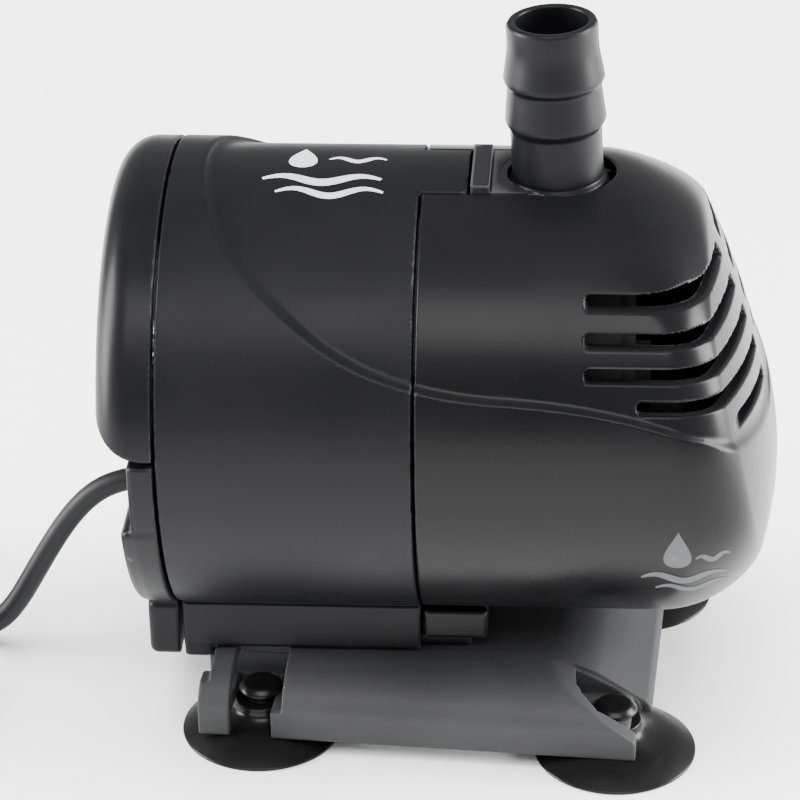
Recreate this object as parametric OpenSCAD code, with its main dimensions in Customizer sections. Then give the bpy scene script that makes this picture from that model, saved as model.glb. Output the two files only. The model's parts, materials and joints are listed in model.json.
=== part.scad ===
// Submersible magnetic-drive aquarium pump with a barbed outlet, a wrap-round
// strainer cover and a slide-off bracket on four suction cups.
// Origin: on the floor under the middle of the body. +X is the strainer front,
// +Z is up, and the body is symmetrical about the plane y = 0.

/* [Body] */
// Radius of the raised shell
shell_r = 41.7; // [41.5:0.1:42]
// Height of the motor axis above the floor
axis_z = 60.8; // [60.6:0.1:61.2]
// Half of the body's length, from the middle to either end
half_len = 58.5; // [58:0.5:60]
// Depth of the recessed hood below the raised shell
hood_step = 1.3; // [0.8:0.1:1.6]
// Thickness of the moulded walls
wall = 2.5; // [2:0.1:2.8]

/* [Hose barb] */
// Diameter over the barb's ribs
rib_d = 17; // [16:0.5:17.5]
// Diameter of the water way
bore_d = 12.3; // [11:0.1:12.5]
// Height of the barb's mouth above the floor
barb_top_z = 128.5; // [126:0.5:132]
// Lean of the outlet towards the motor, in degrees
barb_lean = 2.5; // [0:0.5:3]

/* [Strainer] */
// Height of each inlet slot
slot_h = 2.2; // [1.8:0.1:2.4]
// Distance between slots
slot_pitch = 5.95; // [5.5:0.05:6.2]

/* [Bracket] */
// Radius of the suction cups where they meet the floor
cup_r = 14.5; // [14:0.1:15]
// Turn of the whole bracket under the pump, in degrees
bracket_yaw = 4.1; // [3:0.1:4.5]

/* [Cable] */
// Outer diameter of the cable
cable_d = 4.2; // [4:0.1:4.4]

/* [Hidden] */
$fn = 72;
gap = 0.3;            // clearance between pieces that slide apart
groove = 0.5;         // visible parting groove between mouldings
hood_r = shell_r - hood_step;
cap_x = -48.2;        // parting of the motor housing and what closes its rear
cover_x = -4.6;       // parting of the motor housing and the strainer cover
cap_cut_z = 64.5;     // the rear cap stops here, above the cable cover
edge_r = 6;           // rounding of the rear cap's edge
front_r = 9;          // rounding of the cover's front edge

foot_half_y = 21.5;
foot_top_z = 24.5;
foot_z = 15.2;        // underside of the foot over the bracket
foot_rear_x = -54.1;
foot_stop_x = -42.3;  // the foot is deeper behind this and stops the bracket
foot_stop_z = 13.1;

barb_x = 18.6;        // where the outlet's axis leaves the chamber
notch_x = 19.6;       // middle of the round end of the cover's notch
barb_r0 = rib_d / 2;
barb_len = barb_top_z - axis_z;
socket_top = 40.2;    // along the outlet's axis, from the motor axis

well_r = 13.5;        // the rotor well, outside
shaft_r = 2;
shaft_fit = 0.05;     // radial running clearance on the shaft
rotor_r = 10.9;
impeller_r = 21;
chamber_r = 27;
chamber_x0 = 3;
chamber_x1 = 30;
dog_angle = 40;       // width of each coupling dog

core_x0 = -40;
core_x1 = -14;
leg_y = 17;           // middle of each leg of the stator core
leg_half = 5;

skid_y = 34.7;        // outer face of a skid
skid_z = 3;
skid_arc_y = 12;      // the skid's rounded shoulder, across and up
skid_arc_z = 6.9;
skid_inner_y = 20;
skid_wall = 1.8;
skid_x0 = -44.2;
skid_x1 = 36.2;
plate_z0 = 13.2;
plate_z1 = 14.9;
plate_x0 = -40;
plate_x1 = 38.3;
ramp_x = 25;          // the plate slopes down ahead of this
plate_half = 21.2;    // the plate ends on the flat tops of the skids
rail_half = 6;
rail_flange_half = 10;
cup_x = 32;           // the cups' necks, in the bracket's own frame
cup_y = 26.4;
cup_web_z = 6.6;      // web that the cups clip into
cup_neck_r = 2.5;

gland_x = -55;
gland_z = 38;
// route of the cable from the gland to the coil, by hand
lead = [[-56, 0, 38], [-59.5, 0, 37.6], [-63.5, 0, 36.3], [-67.3, 0, 33.5], [-71, 0, 29.2],
        [-74.7, 0, 23.4], [-78.3, 0, 17], [-81.5, 0, 11.2], [-85, 0.3, 6.4], [-89.5, 1.6, 3.3],
        [-94.5, 4, 2.2], [-99.5, 6.9, 2.1], [-104.5, 9.3, 2.3], [-109.5, 10.6, 2.7], [-114, 11, 2.9]];
// route of the cable from the coil to the plug, by hand
tail = [[-94.7, -8.3, 7.2], [-94.7, -3, 7.3], [-94.7, 3, 7.4], [-94.7, 9, 7.4], [-94.9, 14.5, 7.3],
        [-96.2, 21, 7.1], [-99.7, 26.5, 7], [-105, 30.2, 7], [-111, 31.5, 7], [-114, 31.5, 7]];
coil_x = -126;
coil_y = -20.4;
coil_r = 25;
coil_half = 8.6;
coil_z0 = 0.8;
coil_z1 = 9.4;
plug_x = -114;
plug_y = 31.5;
plug_z = 7;
pin_pitch = 18.6;

// ---------- helpers ----------

// cylinder along the motor axis from x0 to x1
module rod_x(x0, x1, r) {
    translate([x0, 0, axis_z]) rotate([0, 90, 0]) cylinder(h = x1 - x0, r = r);
}

// solid of revolution about the motor axis; the outline's height runs along +X
module turned_x() {
    translate([0, 0, axis_z]) rotate([0, 90, 0]) rotate_extrude() children();
}

// box between two corners
module block(lo, hi) {
    translate(lo) cube(hi - lo);
}

// side outline, drawn in x and z, carried through the whole width
module across(half_y) {
    translate([0, half_y, 0]) rotate([90, 0, 0]) linear_extrude(2 * half_y) children();
}

// frame of the leaning outlet: origin on the motor axis, +Z along the outlet
module at_outlet() {
    foot_x = barb_x + (101.5 - axis_z) * tan(barb_lean);
    translate([foot_x, 0, axis_z]) rotate([0, -barb_lean, 0]) children();
}

function bezier(a, b, c, d, n) =
    [for (i = [0 : n - 1]) let (t = i / n, s = 1 - t) s*s*s*a + 3*s*s*t*b + 3*s*t*t*c + t*t*t*d];

// line of the step between the hood and the raised shell, from the top rear down to the front
step_line = concat(bezier([-42.4, 103.2], [-40.5, 98.2], [-34.5, 93.2], [-24.1, 86], 8),
                   bezier([-24.1, 86], [-14.5, 79.2], [-4, 76.6], [8, 75.7], 5),
                   bezier([8, 75.7], [22, 75.2], [34, 73.2], [44, 69.2], 5),
                   [[44, 69.2], [48, 66.8], [52, 63.8], [56, 60.9]]);

// everything below and behind the step line
module below_step() {
    across(60) polygon(concat([[-70, 103.2]], step_line, [[70, 60.4], [70, 0], [-70, 0]]));
}

// front of the cover seen from the side, curving back above and below its middle
function front_x(z) = half_len + 0.8 - 0.0047 * pow(max(z - 38, 0), 2) - 0.006 * pow(max(55 - z, 0), 2);
front_line = [for (z = [20 : 8 : 108]) [front_x(z), z]];

// bullet outline of the cover, to be turned about the motor axis
module bullet(r, x1, corner) {
    union() {
        translate([0, cover_x + groove / 2]) square([r, x1 - corner - cover_x - groove / 2]);
        translate([0, cover_x + groove]) square([r - corner, x1 - cover_x - groove]);
        translate([r - corner, x1 - corner]) circle(r = corner);
    }
}

// outer or inner form of the strainer cover; inset moves every face inwards
module cover_form(inset) {
    intersection() {
        union() {
            turned_x() bullet(hood_r - inset, half_len - inset, front_r);
            if (inset == 0)
                intersection() {
                    turned_x() bullet(shell_r, half_len, front_r + hood_step);
                    below_step();
                }
        }
        translate([-inset, 0, 0]) across(60)
            polygon(concat([[-20, 18], [front_x(18), 18]], front_line, [[-20, 108]]));
    }
}

// mirrored pair, at +y and -y
module both_sides() {
    children();
    mirror([0, 1, 0]) children();
}

// ---------- motor ----------

module foot_solid() {
    block([cap_x + groove, -foot_half_y, foot_z], [cover_x, foot_half_y, foot_top_z + 6]);
    block([cap_x + groove, -foot_half_y, foot_stop_z], [foot_stop_x, foot_half_y, foot_z + 1]);
    block([cover_x - 1, -foot_half_y + 2, foot_z], [4.1, foot_half_y - 2, 17.4]);
    // T rail that the bracket slides along
    block([-40, -rail_half, plate_z0 - 1], [-1, rail_half, foot_z + 1]);
    block([-40, -rail_flange_half, 10.6], [-1, rail_flange_half, plate_z0 - gap]);
}

module motor_housing() color([0.16, 0.16, 0.17]) {
    difference() {
        union() {
            rod_x(cap_x + groove, cover_x - groove / 2, hood_r);
            intersection() {
                rod_x(cap_x + groove, cover_x - groove / 2, shell_r);
                below_step();
            }
            foot_solid();
            // tongue at the top that closes the notch of the cover
            intersection() {
                rod_x(cover_x - 1, 3.4, hood_r);
                block([cover_x - 1, -8.8, 90], [3.4, 8.8, 110]);
            }
        }
        rod_x(cap_x - 1, cover_x - 5, shell_r - wall - 1.3);
        rod_x(cover_x - 6, cover_x + 1, 36);
        block([cover_x, -9, 60], [4, 9, axis_z + hood_r - wall]);
    }
}

module rear_cap() color([0.2, 0.2, 0.21]) {
    inner = hood_r - wall;
    difference() {
        turned_x() difference() {
            union() {
                translate([0, -half_len + edge_r]) square([shell_r, half_len - edge_r + cap_x]);
                translate([0, -half_len]) square([shell_r - edge_r, edge_r + 1]);
                intersection() {
                    translate([shell_r - edge_r, -half_len + edge_r]) circle(r = edge_r);
                    translate([0, -half_len]) square([shell_r, edge_r + 1]);
                }
            }
            translate([-1, -half_len + wall]) square([inner - 3, half_len]);
            translate([0, -half_len + 6]) square([inner, half_len]);
        }
        block([-70, -50, 0], [-40, 50, cap_cut_z]);
    }
}

module cable_cover() color([0.15, 0.15, 0.16]) {
    top = cap_cut_z - 0.8;
    difference() {
        union() {
            intersection() {
                rod_x(-53, cap_x, shell_r);
                block([-60, -50, 10], [-40, 50, top]);
            }
            intersection() {
                rod_x(gland_x, cap_x, shell_r);
                block([-60, -50, 10], [-40, 50, 50]);
            }
            block([foot_rear_x, -foot_half_y, foot_stop_z], [cap_x, foot_half_y, foot_top_z]);
        }
        intersection() {
            rod_x(-50.5, cap_x + 1, hood_r - wall);
            block([-60, -50, 10], [-40, 50, top - wall]);
        }
        translate([-60, 0, gland_z]) rotate([0, 90, 0]) cylinder(h = 20, r = 3.6);
    }
}

module rotor_well() color([0.1, 0.1, 0.11]) {
    difference() {
        union() {
            rod_x(-44, cover_x - 2, well_r);
            rod_x(-7.1, cover_x, 35.8);
        }
        rod_x(-42, cover_x + 1, well_r - 1.9);
        // groove of the chamber's seal and the four screw holes
        turned_x() translate([29.2, cover_x - 0.9]) square([2, 2]);
        for (a = [45 : 90 : 315])
            translate([-6.4, 33 * cos(a), axis_z + 33 * sin(a)]) rotate([0, 90, 0]) cylinder(h = 4, r = 1.3);
    }
}

module stator_core() color([0.45, 0.46, 0.48]) {
    difference() {
        union() {
            block([core_x0, -24, 52], [core_x1, 24, 74]);
            block([core_x0, -leg_y - leg_half, 30.5], [core_x1, leg_y + leg_half, 38]);
            both_sides() block([core_x0, leg_y - leg_half, 30.5], [core_x1, leg_y + leg_half, 60]);
        }
        rod_x(core_x0 - 1, core_x1 + 1, well_r + gap);
        block([core_x0 - 1, -2.5, 40], [core_x1 + 1, 2.5, 80]);
    }
}

// flat-sided ring round a leg of the core; grow is its thickness
module leg_ring(z0, z1, inner, grow) {
    both_sides() difference() {
        block([core_x0 - inner - grow, leg_y - leg_half - inner - grow, z0],
              [core_x1 + inner + grow, leg_y + leg_half + inner + grow, z1]);
        block([core_x0 - inner, leg_y - leg_half - inner, z0 - 1],
              [core_x1 + inner, leg_y + leg_half + inner, z1 + 1]);
    }
}

module coil_bobbins() color([0.85, 0.85, 0.8]) {
    leg_ring(38.4, 48.6, 0.2, 0.9);
    leg_ring(38.4, 39.3, 0.2, 5.2);
    leg_ring(47.7, 48.6, 0.2, 5.2);
}

module coil_windings() color([0.72, 0.4, 0.2]) {
    leg_ring(39.4, 47.6, 1.2, 3.7);
}

module potting() color([0.12, 0.12, 0.12]) {
    // resin above and below the stator; it stands clear of the core and the coils
    difference() {
        rod_x(-45.8, -10, shell_r - wall - 1.6);
        rod_x(-46, -8, well_r + 0.4);
        block([-46, -28.6, 30], [-8, 28.6, 74.5]);
        translate([-50, 0, gland_z]) rotate([0, 90, 0]) cylinder(h = 10, r = 3.6);
    }
}

// ---------- rotor and impeller ----------

module rear_bushing() color([0.9, 0.9, 0.88]) {
    difference() {
        rod_x(-42, -36.5, 5);
        rod_x(-40.5, -36, shaft_r);
    }
}

module rotor_shaft() color([0.95, 0.95, 0.93]) {
    rod_x(-40.5, 34.5, shaft_r);
}

// dog of the loose coupling between the rotor and the impeller
module dog(middle) {
    rotate([middle - dog_angle / 2, 0, 0]) rotate([0, 90, 0])
        rotate_extrude(angle = dog_angle) translate([6.3, 0]) square([3, 3.6]);
}

module magnet_rotor() color([0.3, 0.3, 0.31]) {
    difference() {
        union() {
            rod_x(-35.5, 0, rotor_r);
            rod_x(-36, 0.3, 4);
            translate([0, 0, axis_z]) dog(90);
        }
        rod_x(-37, 2, shaft_r + shaft_fit);
    }
}

module impeller_blade() {
    difference() {
        translate([10, 12.5, 0]) cylinder(h = 11, r = 12.5);
        translate([10, 12.5, -1]) cylinder(h = 13, r = 11);
        translate([-30, 11, -1]) cube([60, 40, 13]);
        translate([-30, -20, -1]) cube([34, 60, 13]);
    }
}

module impeller() color([0.75, 0.76, 0.78]) {
    translate([0, 0, axis_z]) rotate([0, 90, 0]) difference() {
        union() {
            translate([0, 0, 4]) cylinder(h = 3, r = 10);
            translate([0, 0, 7]) cylinder(h = 18, r = 4.4);
            translate([0, 0, 11]) cylinder(h = 1.6, r = impeller_r);
            translate([0, 0, 4]) cylinder(h = 8, r = 6);
            translate([0, 0, 12.5])
                intersection() {
                    for (a = [0 : 60 : 300]) rotate([0, 0, a]) impeller_blade();
                    cylinder(h = 11, r = impeller_r - 0.5);
                }
        }
        translate([0, 0, -1]) cylinder(h = 30, r = shaft_r + shaft_fit);
    }
    translate([0.4, 0, axis_z]) dog(270);
}

module front_bushing() color([0.9, 0.9, 0.88]) {
    difference() {
        rod_x(29, 34, 4);
        rod_x(28, 35, shaft_r + shaft_fit);
    }
}

// ---------- pump chamber and outlet ----------

module pump_chamber() color([0.13, 0.13, 0.14]) {
    difference() {
        union() {
            rod_x(cover_x, cover_x + 2.6, 35.8);
            rod_x(cover_x, chamber_x0 + 2, 16.5);
            rod_x(chamber_x0, chamber_x1, chamber_r);
            at_outlet() cylinder(h = socket_top - 4.8, r = 11.4);
            // pad that fills the notch of the cover, with the latch rib across it
            difference() {
                union() {
                    block([3.9, -8.7, 90], [barb_x, 8.7, axis_z + 39.4]);
                    block([3.9, -8.7, 96], [7.2, 8.7, axis_z + 40.6]);
                }
                at_outlet() translate([0, 0, 20]) cylinder(h = 40, r = 10);
            }
        }
        rod_x(cover_x - 1, chamber_x0 + 3, 13.2);
        rod_x(chamber_x0 + 2.4, chamber_x1 + 1, chamber_r - 2.4);
        rod_x(chamber_x1, chamber_x1 + 10, chamber_r + gap);
        at_outlet() translate([0, 0, 12]) cylinder(h = socket_top, r = bore_d / 2);
        at_outlet() translate([0, 0, socket_top - 10]) cylinder(h = 11, r = 8.9);
        for (a = [45 : 90 : 315])
            translate([cover_x - 1, 33 * cos(a), axis_z + 33 * sin(a)]) rotate([0, 90, 0])
                cylinder(h = 6, r = 1.6);
    }
}

module chamber_seal() color([0.05, 0.05, 0.05]) {
    turned_x() translate([29.4, cover_x - 0.85]) square([1.6, 0.85]);
}

module chamber_screws() color([0.7, 0.7, 0.72]) {
    for (a = [45 : 90 : 315])
        translate([0, 33 * cos(a), axis_z + 33 * sin(a)]) rotate([0, 90, 0]) {
            translate([0, 0, cover_x - 1.7]) cylinder(h = 4.3, r = 1.3);
            translate([0, 0, cover_x + 2.6]) cylinder(h = 1.6, r = 2.6);
        }
}

module chamber_lid() color([0.14, 0.14, 0.15]) {
    difference() {
        union() {
            rod_x(chamber_x1, chamber_x1 + 2.4, chamber_r);
            rod_x(chamber_x1 - 2, chamber_x1 + 0.1, chamber_r - 2.5);
            rod_x(chamber_x1, chamber_x1 + 5.4, 6);
        }
        difference() {
            rod_x(chamber_x1 - 3, chamber_x1 + 4, 13);
            rod_x(chamber_x1 - 3, chamber_x1 + 4, 6);
            for (a = [0 : 120 : 240])
                translate([0, 0, axis_z]) rotate([a, 0, 0]) block([20, -1.2, 0], [40, 1.2, 14]);
        }
        rod_x(chamber_x1 - 3, chamber_x1 + 4.7, 4);
        rod_x(chamber_x1 - 3, chamber_x1 - 0.2, 13);
    }
}

module hose_barb() color([0.14, 0.14, 0.15]) {
    top = barb_len;
    stem = barb_r0 - 0.6;
    at_outlet() rotate_extrude() difference() {
        polygon([[0, socket_top - 9.5], [8.7, socket_top - 9.5], [8.7, socket_top - 1.6],
                 [stem, socket_top - 0.9], [stem, top - 22], [barb_r0, top - 20.8], [barb_r0, top - 19.8],
                 [stem + 0.15, top - 14.6], [stem + 0.15, top - 14.3], [barb_r0, top - 13.4],
                 [barb_r0, top - 12.4], [stem - 0.15, top - 6.2], [stem - 0.15, top - 0.9],
                 [stem - 0.8, top], [0, top]]);
        square([bore_d / 2, top + 1]);
        // groove of the seal
        translate([8, socket_top - 6]) square([2, 1.8]);
    }
}

module barb_seal() color([0.05, 0.05, 0.05]) {
    at_outlet() rotate_extrude() translate([8.05, socket_top - 5.95]) square([0.8, 1.7]);
}

// ---------- strainer ----------

// one inlet slot on the +y side; level counts down from the top
module slot(level, from_x) {
    tilt = 4 + 1.3 * level;
    z = 87.6 - slot_pitch * level;
    translate([from_x + slot_h / 2, 3, z]) rotate([tilt, 0, 0]) {
        translate([0, 0, -slot_h / 2]) cube([60, 45, slot_h]);
        rotate([-90, 0, 0]) cylinder(h = 45, r = slot_h / 2);
    }
}

module strainer_cover() color([0.17, 0.17, 0.18]) {
    difference() {
        union() {
            difference() {
                cover_form(0);
                cover_form(wall);
                rod_x(cover_x - 1, cover_x + 3, hood_r - wall);
            }
            block([cover_x + groove / 2, -foot_half_y, 17.9], [7, foot_half_y, 23.7]);
        }
        rod_x(cover_x - 1, 48, hood_r - wall);
        // notch that lets the cover slide off past the outlet
        translate([notch_x, 0, 90]) cylinder(h = 20, r = 9.1);
        block([cover_x - 1, -9.1, 90], [notch_x, 9.1, 110]);
        both_sides() {
            for (level = [0 : 2]) slot(level, 23.8);
            slot(3, 33);
            slot(4, 50);
        }
    }
}

// ---------- bracket and suction cups ----------

function shoulder(inset) = [for (a = [0 : 10 : 90])
    [skid_y - skid_arc_y + (skid_arc_y - inset) * cos(a), 8 + (skid_arc_z - inset) * sin(a)]];

// section of a skid, drawn in y and z; inset thins it for the inside of the channel
module skid_section(inset, bottom) {
    polygon(concat([[skid_y - inset, bottom]], shoulder(inset),
                   [[skid_inner_y + inset, 8 + skid_arc_z - inset], [skid_inner_y + inset, bottom]]));
}

module skid_bar(inset, bottom, x0, x1) {
    translate([x0, 0, 0]) rotate([90, 0, 90]) linear_extrude(x1 - x0) skid_section(inset, bottom);
}

// cut of a skid's front end: oblique above, upright below
module skid_front_cut() {
    across(60) polygon([[20, 17], [22.5, 15.5], [skid_x1, 6.8], [skid_x1, 0], [60, 0], [60, 17]]);
}

// floor of the channel that a cup's neck clips into, between two places along the skid
module cup_web(x0, x1) {
    block([x0, skid_inner_y + 0.6, cup_web_z], [x1, skid_y - 1, cup_web_z + skid_wall]);
}

module skid() {
    difference() {
        union() {
            difference() {
                skid_bar(0, skid_z, skid_x0 + 2, skid_x1 + 1);
                skid_bar(skid_wall, skid_z - 1, skid_x0, skid_x1 + 2);
            }
            cup_web(-40, -26);
            cup_web(25, 35);
            block([27, skid_y - 3.6, skid_z], [skid_x1 + 1, skid_y - 1, 9]);
        }
        skid_front_cut();
        // window over the rear cup's neck, and the low rear end
        block([-36.5, 22, 0], [-29, skid_y + 1, 17]);
        block([-36.5, 22, 8.5], [-27, skid_y + 1, 17]);
        block([-50, 0, 12.5], [-40.5, 50, 20]);
        for (end = [-1, 1])
            translate([end * cup_x, cup_y, 5]) cylinder(h = 5, r = cup_neck_r);
    }
}

// the whole bracket sits a little askew under the pump
module at_bracket() {
    rotate([0, 0, -bracket_yaw]) children();
}

module bracket() color([0.22, 0.22, 0.23]) {
    difference() {
        at_bracket() {
            across(plate_half) polygon([[plate_x0, plate_z0], [ramp_x - 0.6, plate_z0], [plate_x1 - 1.7, 5.4],
                                        [plate_x1 - 1.7, 4.4], [plate_x1, 4.4], [plate_x1, 6.4],
                                        [ramp_x, plate_z1], [plate_x0, plate_z1]]);
            both_sides() skid();
        }
        block([-45, -rail_half - gap, 0], [-0.4, rail_half + gap, 20]);
    }
}

module suction_cup(end, side) color([0.06, 0.06, 0.06]) {
    at_bracket() translate([end * cup_x, side * cup_y, 0]) rotate_extrude()
        polygon([[0, 2], [5, 1.9], [10, 1.1], [cup_r - 0.6, 0], [cup_r, 0], [cup_r, 0.5], [11, 2.2],
                 [7, 3.4], [5.2, 4.4], [4.6, 5.4], [4.6, cup_web_z], [cup_neck_r, cup_web_z],
                 [cup_neck_r, cup_web_z + skid_wall], [4, cup_web_z + skid_wall], [2.6, 10.6], [0, 10.6]]);
}

// ---------- cable and plug ----------

module cable_gland() color([0.07, 0.07, 0.07]) {
    translate([-50.5, 0, gland_z]) rotate([0, -90, 0]) rotate_extrude()
        polygon([[0, 0], [3.6, 0], [3.6, 4.7], [3.2, 5.5], [0, 5.5]]);
}

// unit vector, and the sweep of a round tube along points
function unit(v) = v / norm(v);
function along(p, i) = unit(p[min(i + 1, len(p) - 1)] - p[max(i - 1, 0)]);
function ring_at(p, i, r, n) =
    let (t = along(p, i), side = unit(cross(t, [0.1, 0.95, 0.3])), up = cross(side, t))
    [for (k = [0 : n - 1]) p[i] + r * (cos(360 * k / n) * side + sin(360 * k / n) * up)];

module tube(p, r, n = 8) {
    rings = len(p);
    points = [for (i = [0 : rings - 1]) each ring_at(p, i, r, n)];
    sides = [for (i = [0 : rings - 2], k = [0 : n - 1])
        [i * n + k, i * n + (k + 1) % n, (i + 1) * n + (k + 1) % n, (i + 1) * n + k]];
    ends = [[for (k = [n - 1 : -1 : 0]) k], [for (k = [0 : n - 1]) (rings - 1) * n + k]];
    polyhedron(points, concat(sides, ends));
}

module cable_lead() color([0.12, 0.12, 0.12]) tube(lead, cable_d / 2);

module cable_tail() color([0.12, 0.12, 0.12]) tube(tail, cable_d / 2);

module cable_coil() color([0.12, 0.12, 0.12]) {
    translate([coil_x, coil_y, 0]) rotate_extrude()
        translate([coil_r - coil_half, coil_z0]) square([2 * coil_half, coil_z1 - coil_z0]);
}

module coil_tie() color([0.2, 0.2, 0.2]) {
    tie_w = 5;
    translate([coil_x - tie_w / 2, coil_y - coil_r - coil_half, 0]) difference() {
        translate([0, -1, 0]) cube([tie_w, 2 * coil_half + 2, coil_z1 + 0.8]);
        translate([-1, -0.2, coil_z0]) cube([tie_w + 2, 2 * coil_half + 0.4, coil_z1 - coil_z0]);
    }
}

module plug_body() color([0.1, 0.1, 0.1]) {
    translate([plug_x, plug_y, plug_z]) rotate([0, -90, 0]) rotate_extrude()
        polygon([[0, 0], [3, 0], [4.6, 11], [0, 11]]);
    translate([plug_x - 36, plug_y - 13, 0]) cube([26, 26, 2 * plug_z]);
}

module plug_pins() color([0.8, 0.8, 0.82]) {
    for (side = [-1, 1])
        translate([plug_x - 36, plug_y + side * pin_pitch / 2, plug_z]) rotate([0, -90, 0]) {
            cylinder(h = 17.5, r = 2);
            translate([0, 0, 17.5]) cylinder(h = 1.5, r1 = 2, r2 = 1);
        }
}

// ---------- assembly ----------

motor_housing();
rear_cap();
cable_cover();
rotor_well();
stator_core();
coil_bobbins();
coil_windings();
potting();
rear_bushing();
rotor_shaft();
magnet_rotor();
impeller();
front_bushing();
pump_chamber();
chamber_seal();
chamber_lid();
chamber_screws();
hose_barb();
barb_seal();
strainer_cover();
bracket();
suction_cup(-1, -1);  // cup_rear_near
suction_cup(-1, 1);  // cup_rear_far
suction_cup(1, -1);  // cup_front_near
suction_cup(1, 1);  // cup_front_far
cable_gland();
cable_lead();
cable_coil();
cable_tail();
coil_tie();
plug_body();
plug_pins();
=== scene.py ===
"""Submersible aquarium pump: moulded shells, rubber cups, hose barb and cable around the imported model."""
import json
import math

import bmesh
import bpy
import numpy as np
from mathutils import Matrix, Vector


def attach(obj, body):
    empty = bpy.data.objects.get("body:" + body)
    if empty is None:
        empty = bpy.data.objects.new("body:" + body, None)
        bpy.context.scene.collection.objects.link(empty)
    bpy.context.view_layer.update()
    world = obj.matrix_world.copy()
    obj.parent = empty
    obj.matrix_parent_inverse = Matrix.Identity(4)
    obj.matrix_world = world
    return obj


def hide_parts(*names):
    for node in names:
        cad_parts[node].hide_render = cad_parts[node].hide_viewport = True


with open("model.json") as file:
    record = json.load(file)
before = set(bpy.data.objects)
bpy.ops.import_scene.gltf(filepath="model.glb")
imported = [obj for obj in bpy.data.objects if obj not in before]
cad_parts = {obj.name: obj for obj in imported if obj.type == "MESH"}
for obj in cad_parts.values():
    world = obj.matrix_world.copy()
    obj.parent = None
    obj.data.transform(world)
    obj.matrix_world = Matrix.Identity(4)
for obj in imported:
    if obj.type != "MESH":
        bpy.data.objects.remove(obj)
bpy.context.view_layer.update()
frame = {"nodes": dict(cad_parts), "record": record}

MM = 0.001
COARSER = 1.0     # factor on the cells of the meshed fields

# ---------------------------------------------------------------- sizes, in millimetres
AXIS_Z = 60.8          # height of the motor axis
SHELL_R = 41.7         # raised shell
STEP = 1.3             # depth of the recessed hood
HOOD_R = SHELL_R - STEP
HALF_LEN = 58.5
CAP_X = -48.2          # parting between the motor housing and its rear pieces
COVER_X = -4.6         # parting between the motor housing and the strainer cover
GROOVE = 0.5           # width of the parting lines
PART_EDGE = 0.35       # rounding of the edges beside them
WALL = 2.5
HOLLOW_R = SHELL_R - WALL - STEP
CAP_CUT_Z = 64.5       # lower edge of the rear cap
FOOT_HALF_Y = 21.5
FOOT_TOP_Z = 24.5
FOOT_LOW_Z = 15.2
FOOT_DEEP_Z = 13.1     # underside of the deeper rear end of the foot
PAD_HALF_Y = 8.75      # outlet pad and tongue in the cover's notch
PAD_TOP_Z = 101.5
BARB_X = 18.6          # outlet axis where it leaves the chamber
BARB_LEAN = math.radians(2.5)
BARB_TOP = 67.7        # mouth of the barb, along the outlet from the motor axis
NOTCH_X = 19.6         # middle of the round end of the cover's notch
NOTCH_R = 9.1
SLOT_PITCH = 5.95      # from slot to slot, upright
SLOT_TOP_Z = 87.6      # middle of the top slot beside the central rib
SLOT_RIB = 3.0         # half width of the central rib
SLOT_STARTS = (23.8, 23.8, 23.8, 32.6, 49.4)
HOOD_FRONT = 0.8       # how far the hood's front lies behind the raised front
BRACKET_YAW = math.radians(4.1)
PLATE_TOP = 14.9
PLATE_THICK = 1.7
CUP_X = 32.0           # the cups' necks, in the bracket's own frame
CUP_Y = 26.4
CUP_R = 14.5
CABLE_D = 4.2
CABLE_EXIT_Z = 38.0
PLUG_ENTRY = (-114.0, 31.5, 7.0)
LOWER_LAYER = 2.95     # heights of the coil's two layers
UPPER_LAYER = 7.2
COIL = (-126.0, -20.4)
COIL_PITCH = 4.25
COIL_OUTER_R = 31.35   # middle line of the outermost turn
COIL_TURNS = 7.75


# ---------------------------------------------------------------- camera
def make_camera():
    """Telephoto view of the near side from above, with a slight roll."""
    target = Vector((-9.4, 0.0, 54.8)) * MM
    distance, azimuth, elevation, roll = 0.580, math.radians(4.1), math.radians(28.9), math.radians(1.1)
    back = Vector((math.sin(azimuth) * math.cos(elevation),
                   -math.cos(azimuth) * math.cos(elevation), math.sin(elevation)))
    right = Vector((math.cos(azimuth), math.sin(azimuth), 0.0))
    up = back.cross(right)
    turn = Matrix.Rotation(-roll, 3, "Z")
    axes = Matrix((right, up, back)).transposed() @ turn
    data = bpy.data.cameras.new("camera")
    data.sensor_width = 36.0
    data.lens = 145.2
    data.clip_start = 0.01
    camera = bpy.data.objects.new("camera", data)
    bpy.context.collection.objects.link(camera)
    camera.matrix_world = Matrix.Translation(target + back * distance) @ axes.to_4x4()
    bpy.context.scene.camera = camera


make_camera()


# ---------------------------------------------------------------- materials
MOULDED_SPECULAR = 0.14
RUBBER_SPECULAR = 0.22
WEAR_AND_HIGHLIGHT_FROM, WEAR_AND_HIGHLIGHT_TO = 0.545, 0.61    # pointiness of an edge where the edge wear and painted highlight start and are full
BROAD_SCALE = 45.0                      # features per metre of the uneven gloss


def new_material(name, colour, rough, metallic=0.0, specular=0.5):
    """Principled material with its plain values set on the shader's own sockets."""
    mat = bpy.data.materials.new(name)
    mat.use_nodes = True
    shader = mat.node_tree.nodes["Principled BSDF"]
    shader.inputs["Base Color"].default_value = (*colour, 1.0)
    shader.inputs["Roughness"].default_value = rough
    shader.inputs["Metallic"].default_value = metallic
    shader.inputs["Specular IOR Level"].default_value = specular
    return mat, mat.node_tree, shader


def noise(tree, coords, scale, detail=2.0, stretch=(1.0, 1.0, 1.0)):
    """Noise in the object's own metres; scale counts features per metre."""
    mapping = tree.nodes.new("ShaderNodeMapping")
    mapping.inputs["Scale"].default_value = stretch
    tree.links.new(coords.outputs["Object"], mapping.inputs["Vector"])
    node = tree.nodes.new("ShaderNodeTexNoise")
    node.inputs["Scale"].default_value = scale
    node.inputs["Detail"].default_value = detail
    tree.links.new(mapping.outputs["Vector"], node.inputs["Vector"])
    return node.outputs["Fac"]


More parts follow.
